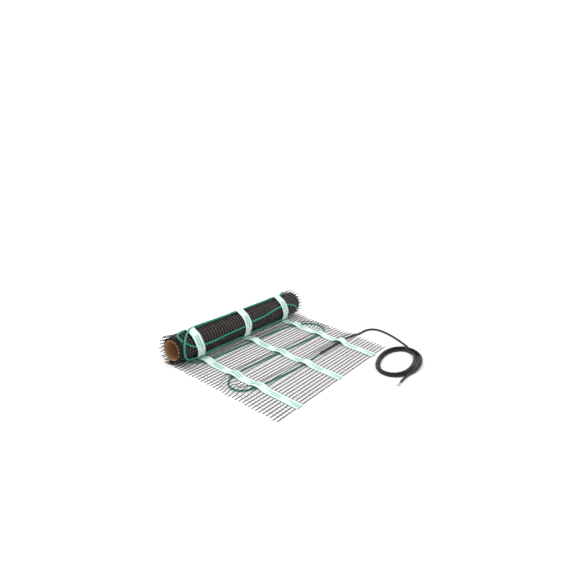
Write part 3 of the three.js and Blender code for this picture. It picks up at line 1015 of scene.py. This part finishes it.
class HEATMAT_OT_mesh(bpy.types.Operator):
    """Fibreglass mesh: the unrolled end and the wound turns, with a dark opaque sleeve inside that paints
    the shade of the inner turns
    """

    bl_idname = "heatmat.mesh"
    bl_label = "Mesh"

    def execute(self, context):
        size = sizes()
        pitch = size.mesh_pitch
        helper = self.guide_line()
        count = math.floor((2 * HALF_WIDTH - 16 * MM) / pitch) + 1
        outer_turn = 2 * math.pi * ROLL_RADIUS * 0.985
        rest = 200 * MM
        weft = finish("weft")
        warp = finish("warp")
        common = {"Cable line": helper}
        wefts = {**common, "Material": weft, "Strand radius": size.weft_width / 2}
        wefts["Half width"] = HALF_WIDTH + 6 * MM
        warps = {**common, "Material": warp, "Count": count, "Pitch": pitch}
        warps["Yarn radius"] = size.warp_width / 2
        rolled = {"Lift": 0.0, "Flare": 4.5 * MM}
        coarse = {**rolled, "Flare": 1.5 * MM}
        ends = {"Steps": 60, "Ragged": 3.5 * MM, "Strand radius": 1.15 * MM}
        thick = {"Yarn radius": 0.75 * size.warp_width, "Sides": 4}
        outer_end, inner_end = outer_turn, outer_turn + rest
        outer_wefts, outer_warps = wound_path(pitch, 4 * MM, outer_end), wound_path(3 * MM, 0.0, outer_end)
        inner_wefts = wound_path(pitch, outer_end + pitch, inner_end)
        inner_warps = wound_path(5 * MM, outer_end, inner_end)
        jobs = [
            ("mesh_flat_wefts", "weft", flat_path(pitch), {**wefts, "Ragged": 2.5 * MM}, "mesh_flat"),
            ("mesh_flat_warps", "warp", flat_path(2.5 * MM), {**warps, "Sides": 5}, "mesh_flat"),
            ("mesh_roll_wefts", "weft", outer_wefts, {**wefts, **rolled, **ends}, "mesh_roll"),
            ("mesh_roll_warps", "warp", outer_warps, {**warps, **rolled, **thick}, "mesh_roll"),
            ("mesh_inner_wefts", "weft", inner_wefts, {**wefts, **coarse, **ends}, "mesh_roll"),
            ("mesh_inner_warps", "warp", inner_warps, {**warps, **coarse, "Sides": 4}, "mesh_roll"),
        ]
        for name, kind, path, values, node in jobs:
            made = run_tree(curve_object(name, path), tree_for(kind), values)
            finish_piece(made, "fibreglass_mesh", node)
        bpy.data.objects.remove(helper)
        # painted shade: an opaque dark sleeve inside the roll keeps it black between the outer strands
        self.inner_turns_painted_shade()
        return {"FINISHED"}

    def guide_line(self):
        """Line over the cable, sleeve and lead whose height is how far the mesh is lifted there."""
        rise = (SLEEVE_Z + 4 + 1.4 - 1.1) * MM
        low = (CABLE_FLOOR + 2.35 + 1.2 - 1.1) * MM
        points = [(HALF_WIDTH / MM + 10, -246, rise * 0.8)]
        points += [(SLEEVE_END, SLEEVE_Y, rise), (SLEEVE_START, SLEEVE_Y, rise)]
        points += [(x, y, low) for x, y, _ in LAID_ROUTE]
        verts = [(x * MM, ROLL_Y + y * MM, z) for x, y, z in points]
        edges = [(i, i + 1) for i in range(len(verts) - 1)]
        line = bpy.data.meshes.new("cable_line")
        line.from_pydata(verts, edges, [])
        return link(bpy.data.objects.new("cable_line", line))

    def inner_turns_painted_shade(self):
        """The turns further in, pressed together on the core: a dark opaque sleeve with strand ridges. It
        stands in for the inner turns and also paints the deep shade between them, which the few real mesh
        layers would let light through.
        """
        inner, outer = CORE_RADIUS + 0.3 * MM, 32.6 * MM
        half = HALF_WIDTH - 1.5 * MM
        around, along = 240, 120
        rings = [(-half, inner)]
        rings += [(-half, inner + (outer - inner) * k / 8) for k in range(1, 8)]
        rings += [(-half + 2 * half * i / along, outer) for i in range(along + 1)]
        rings += [(half, outer - (outer - inner) * k / 8) for k in range(1, 8)]
        rings += [(half, inner)]
        verts = []
        for number, (x, r) in enumerate(rings):
            for j in range(around):
                a = 2 * math.pi * j / around
                ridge = 0.5 * MM * math.sin(24 * a) if r == outer else 0.0
                end = 0.6 * MM * (number % 2) if abs(x) == half and inner < r < outer else 0.0
                reach = r + ridge
                spot = (ROLL_Y + reach * math.sin(a), ROLL_Z + reach * math.cos(a))
                verts.append((x - math.copysign(end, x), *spot))
        # painted shade: a solid sleeve in the weft colour blocks the light so the roll looks dark inside,
        # standing in for the shaded inner turns
        painted_shade_sleeve = mesh_object("mesh_packed_turns", verts, ring_faces(len(rings), around), finish("weft"))
        outward(painted_shade_sleeve)
        finish_piece(painted_shade_sleeve, "fibreglass_mesh", "mesh_roll")


class HEATMAT_OT_core(bpy.types.Operator):
    """Cardboard core with its wound seam"""

    bl_idname = "heatmat.core"
    bl_label = "Core"

    def execute(self, context):
        outer = CORE_RADIUS
        inner = outer - 2 * MM
        edge = 0.35 * MM
        half = (CORE_HIGH.x - CORE_LOW.x) / 2
        profile = [
            (-half + edge, outer), (-half, outer - edge), (-half, inner + edge), (-half + edge, inner),
            (half - edge, inner), (half, inner + edge), (half, outer - edge), (half - edge, outer),
        ]
        around, along = 96, 40
        rings = []
        for (x0, r0), (x1, r1) in zip(profile, profile[1:] + profile[:1]):
            steps = along if abs(x1 - x0) > 10 * MM else 1
            rings += [(x0 + (x1 - x0) * i / steps, r0 + (r1 - r0) * i / steps) for i in range(steps)]
        verts = []
        for x, r in rings:
            for j in range(around):
                a = 2 * math.pi * j / around
                seam = math.sin(a + x / (34 * MM) * 1.0)
                step = 0.12 * MM * (seam > 0.985) if abs(x) < half - 2 * edge else 0.0
                radius = r - step if r > inner + edge else r + step
                verts.append((x, ROLL_Y + radius * math.sin(a), ROLL_Z + radius * math.cos(a)))
        core = mesh_object("core_board_tube", verts, ring_faces(len(rings), around), finish("board"))
        outward(core)
        finish_piece(core, "core_cardboard", "core_tube")
        return {"FINISHED"}


def outward(obj):
    """Turns the faces of a closed shell outwards if its volume comes out negative."""
    shell = bmesh.new()
    shell.from_mesh(obj.data)
    if shell.calc_volume(signed=True) < 0:
        bmesh.ops.reverse_faces(shell, faces=shell.faces)
    shell.to_mesh(obj.data)
    shell.free()


# ROLL_DRIFT is how far each tape wanders along the roll, in mm: the mat is wound a little askew.
TAPE_HALF = 13 * MM
TAPE_STEPS = 10  # across
TAPE_BASE = 2.8  # mm, height of a top tape on the flat mesh
RUN_LIFT = 5.3
SLEEVE_LIFT = 9.2
ROLL_DRIFT = {"left": -13, "middle": -4, "right": -12}


class HEATMAT_OT_tapes(bpy.types.Operator):
    """Holding tapes on both faces of the unrolled mesh and round the roll"""

    bl_idname = "heatmat.tapes"
    bl_label = "Tapes"

    def execute(self, context):
        for side, x in zip(("left", "middle", "right"), TAPE_XS):
            top = self.top_path(side)
            self.ribbon(f"tape_top_{side}_band", x, top, 0.6, f"tape_top_{side}")
            self.ribbon(f"tape_under_{side}_band", x, self.under_path(), -0.2, f"tape_under_{side}")
            drift = ROLL_DRIFT[side]
            self.ribbon(f"tape_roll_{side}_band", x, self.roll_path(), 0.5, f"tape_roll_{side}", drift)
        return {"FINISHED"}

    def runs_at(self, x):
        """Where each flat cable run crosses a tape, in mm from under the roll's axis."""
        line = [Vector(p) for p in LAID_ROUTE]
        found = []
        for a, b in zip(line, line[1:]):
            if (a.x - x) * (b.x - x) < 0:
                t = (x - a.x) / (b.x - a.x)
                found.append(a.y + (b.y - a.y) * t)
        return found

    def top_path(self, side):
        x = TAPE_XS[("left", "middle", "right").index(side)] / MM
        lifts = [(run, RUN_LIFT) for run in self.runs_at(x)]
        if x > SLEEVE_START:
            lifts.append((SLEEVE_Y, SLEEVE_LIFT))
        points = []
        start, end = -(FLAT_LENGTH + TAPE_OVERHANG) / MM, -18
        count = 240
        for i in range(count + 1):
            y = start + (end - start) * i / count
            z = TAPE_BASE
            for run, lift in lifts:
                t = 1 - min(max((abs(y - run) - 2.5) / 22, 0.0), 1.0)
                z = max(z, TAPE_BASE + lift * t * t * (3 - 2 * t))
            points.append(place(0, y, z))
        return points

    def under_path(self):
        start, end = -(FLAT_LENGTH + TAPE_OVERHANG) / MM, 6
        return [place(0, start + (end - start) * i / 90, 0.19) for i in range(91)]

    def roll_path(self):
        circles = [(0.0, ROLL_Z / MM, ROLL_RADIUS / MM)]
        for s in WOUND_RUNS:
            spot = on_roll(0, s)
            circles.append(((spot.y - ROLL_Y) / MM, spot.z / MM, 2.0))
        points = []
        steps = 150
        for i in range(steps + 1):
            a = math.radians(20 + 310 * i / steps)
            uy, uz = math.sin(a), -math.cos(a)
            y, z, r = max(circles, key=lambda c: c[0] * uy + c[1] * uz + c[2])
            reach = r + 0.3 + 0.17
            points.append(place(0, y + reach * uy, z + reach * uz))
        return points

    def ribbon(self, name, x, path, wave, node, drift=0.0):
        """A thin band that follows a path in Y and Z, with lengths and widths in its UV map."""
        half, across = TAPE_HALF, TAPE_STEPS
        thickness = sizes().tape_thickness
        rng = random.Random(name)
        phase = rng.uniform(0, 50)
        verts, uvs, faces = [], [], []
        length = 0.0
        layers = []
        for k, point in enumerate(path):
            before = path[max(k - 1, 0)]
            after = path[min(k + 1, len(path) - 1)]
            if k:
                length += (point - path[k - 1]).length
            tangent = (after - before).normalized()
            normal = Vector((1, 0, 0)).cross(tangent)
            if normal.z < 0 and "roll" not in name:
                normal = -normal
            layers.append((point, normal, length))
        for face in (1, -1):
            for point, normal, along in layers:
                for j in range(across + 1):
                    u = -1 + 2 * j / across
                    ripple = noise.noise(Vector((u * 1.3 + phase, along * 60, 0.0))) * 0.25 * MM * wave
                    rise = max(ripple, 0.0) + face * thickness / 2
                    edge = (1 - 0.1 * noise.noise(Vector((phase, along * 90, u)))) * half
                    spot = point + normal * rise
                    aside = drift * MM * ease(0.0, 0.3, (layers[-1][2] - along) / layers[-1][2])
                    verts.append((x + aside + u * min(edge, half), spot.y, max(spot.z, 0.0)))
                    uvs.append((along, u * half))
        rows, columns = len(layers), across + 1

        def top(i, j):
            return i * columns + j

        def low(i, j):
            return (rows + i) * columns + j

        for i in range(rows - 1):
            for j in range(across):
                faces.append((top(i, j), top(i, j + 1), top(i + 1, j + 1), top(i + 1, j)))
                faces.append((low(i, j), low(i + 1, j), low(i + 1, j + 1), low(i, j + 1)))
            faces.append((top(i, 0), top(i + 1, 0), low(i + 1, 0), low(i, 0)))
            faces.append((top(i, across), low(i, across), low(i + 1, across), top(i + 1, across)))
        for j in range(across):
            faces.append((top(0, j), low(0, j), low(0, j + 1), top(0, j + 1)))
            last = rows - 1
            faces.append((top(last, j), top(last, j + 1), low(last, j + 1), low(last, j)))
        band = mesh_object(name, verts, faces, finish("tape"))
        layer = band.data.uv_layers.new(name="along")
        for loop in band.data.loops:
            layer.data[loop.index].uv = uvs[loop.vertex_index]
        outward(band)
        finish_piece(band, "holding_tape", node)


class HEATMAT_OT_sleeve(bpy.types.Operator):
    """Splice sleeve with its shrunk necks"""

    bl_idname = "heatmat.sleeve"
    bl_label = "Splice sleeve"

    def execute(self, context):
        low, high = SLEEVE_LOW, SLEEVE_HIGH
        radius = (high.z - low.z) / 2
        y, z = (low.y + high.y) / 2, (low.z + high.z) / 2
        length = high.x - low.x
        around, steps = 40, 140
        verts, faces = [], []
        for i in range(steps + 1):
            t = i / steps
            x = low.x + length * t
            ends = min(t, 1 - t) * length
            neck = 0.6 + 0.4 * min(1.0, (ends / (11 * MM)) ** 0.7)
            swell = 0.02 * math.sin(t * 23) + 0.015 * math.sin(t * 61 + 1)
            for j in range(around):
                a = 2 * math.pi * j / around
                r = radius * min(neck + swell * (ends > 4 * MM) - 0.03, 1.0)
                verts.append((x, y + r * math.cos(a), z + r * math.sin(a)))
        for i in range(steps):
            for j in range(around):
                k = (j + 1) % around
                faces.append((i * around + j, i * around + k, (i + 1) * around + k, (i + 1) * around + j))
        faces.append(tuple(range(around)))
        faces.append(tuple(steps * around + j for j in reversed(range(around))))
        sleeve = mesh_object("shrunk_sleeve", verts, faces, finish("jacket"))
        outward(sleeve)
        finish_piece(sleeve, "black_jacket", "splice_sleeve")
        return {"FINISHED"}


class HEATMAT_PT_panel(bpy.types.Panel):
    bl_label = "Heating Mat"
    bl_idname = "HEATMAT_PT_panel"
    bl_space_type = "VIEW_3D"
    bl_region_type = "UI"
    bl_category = "Heating Mat"

    def draw(self, context):
        for group in (context.scene.mat_sizes, context.scene.mat_colours):
            for name in group.__annotations__:
                self.layout.prop(group, name)
        for step in STEPS:
            self.layout.operator(step.bl_idname)


STEPS = (
    HEATMAT_OT_stage,
    HEATMAT_OT_cold_lead,
    HEATMAT_OT_heating_cable,
    HEATMAT_OT_mesh,
    HEATMAT_OT_core,
    HEATMAT_OT_tapes,
    HEATMAT_OT_sleeve,
)
CLASSES = (MatSizes, MatColours, *STEPS, HEATMAT_PT_panel)


def register():
    for cls in CLASSES:
        bpy.utils.register_class(cls)
    bpy.types.Scene.mat_sizes = bpy.props.PointerProperty(type=MatSizes)
    bpy.types.Scene.mat_colours = bpy.props.PointerProperty(type=MatColours)


def unregister():
    del bpy.types.Scene.mat_sizes
    del bpy.types.Scene.mat_colours
    for cls in reversed(CLASSES):
        bpy.utils.unregister_class(cls)


def main():
    register()
    for step in STEPS:
        group, name = step.bl_idname.split(".")
        getattr(getattr(bpy.ops, group), name)()


if __name__ == "__main__":
    main()
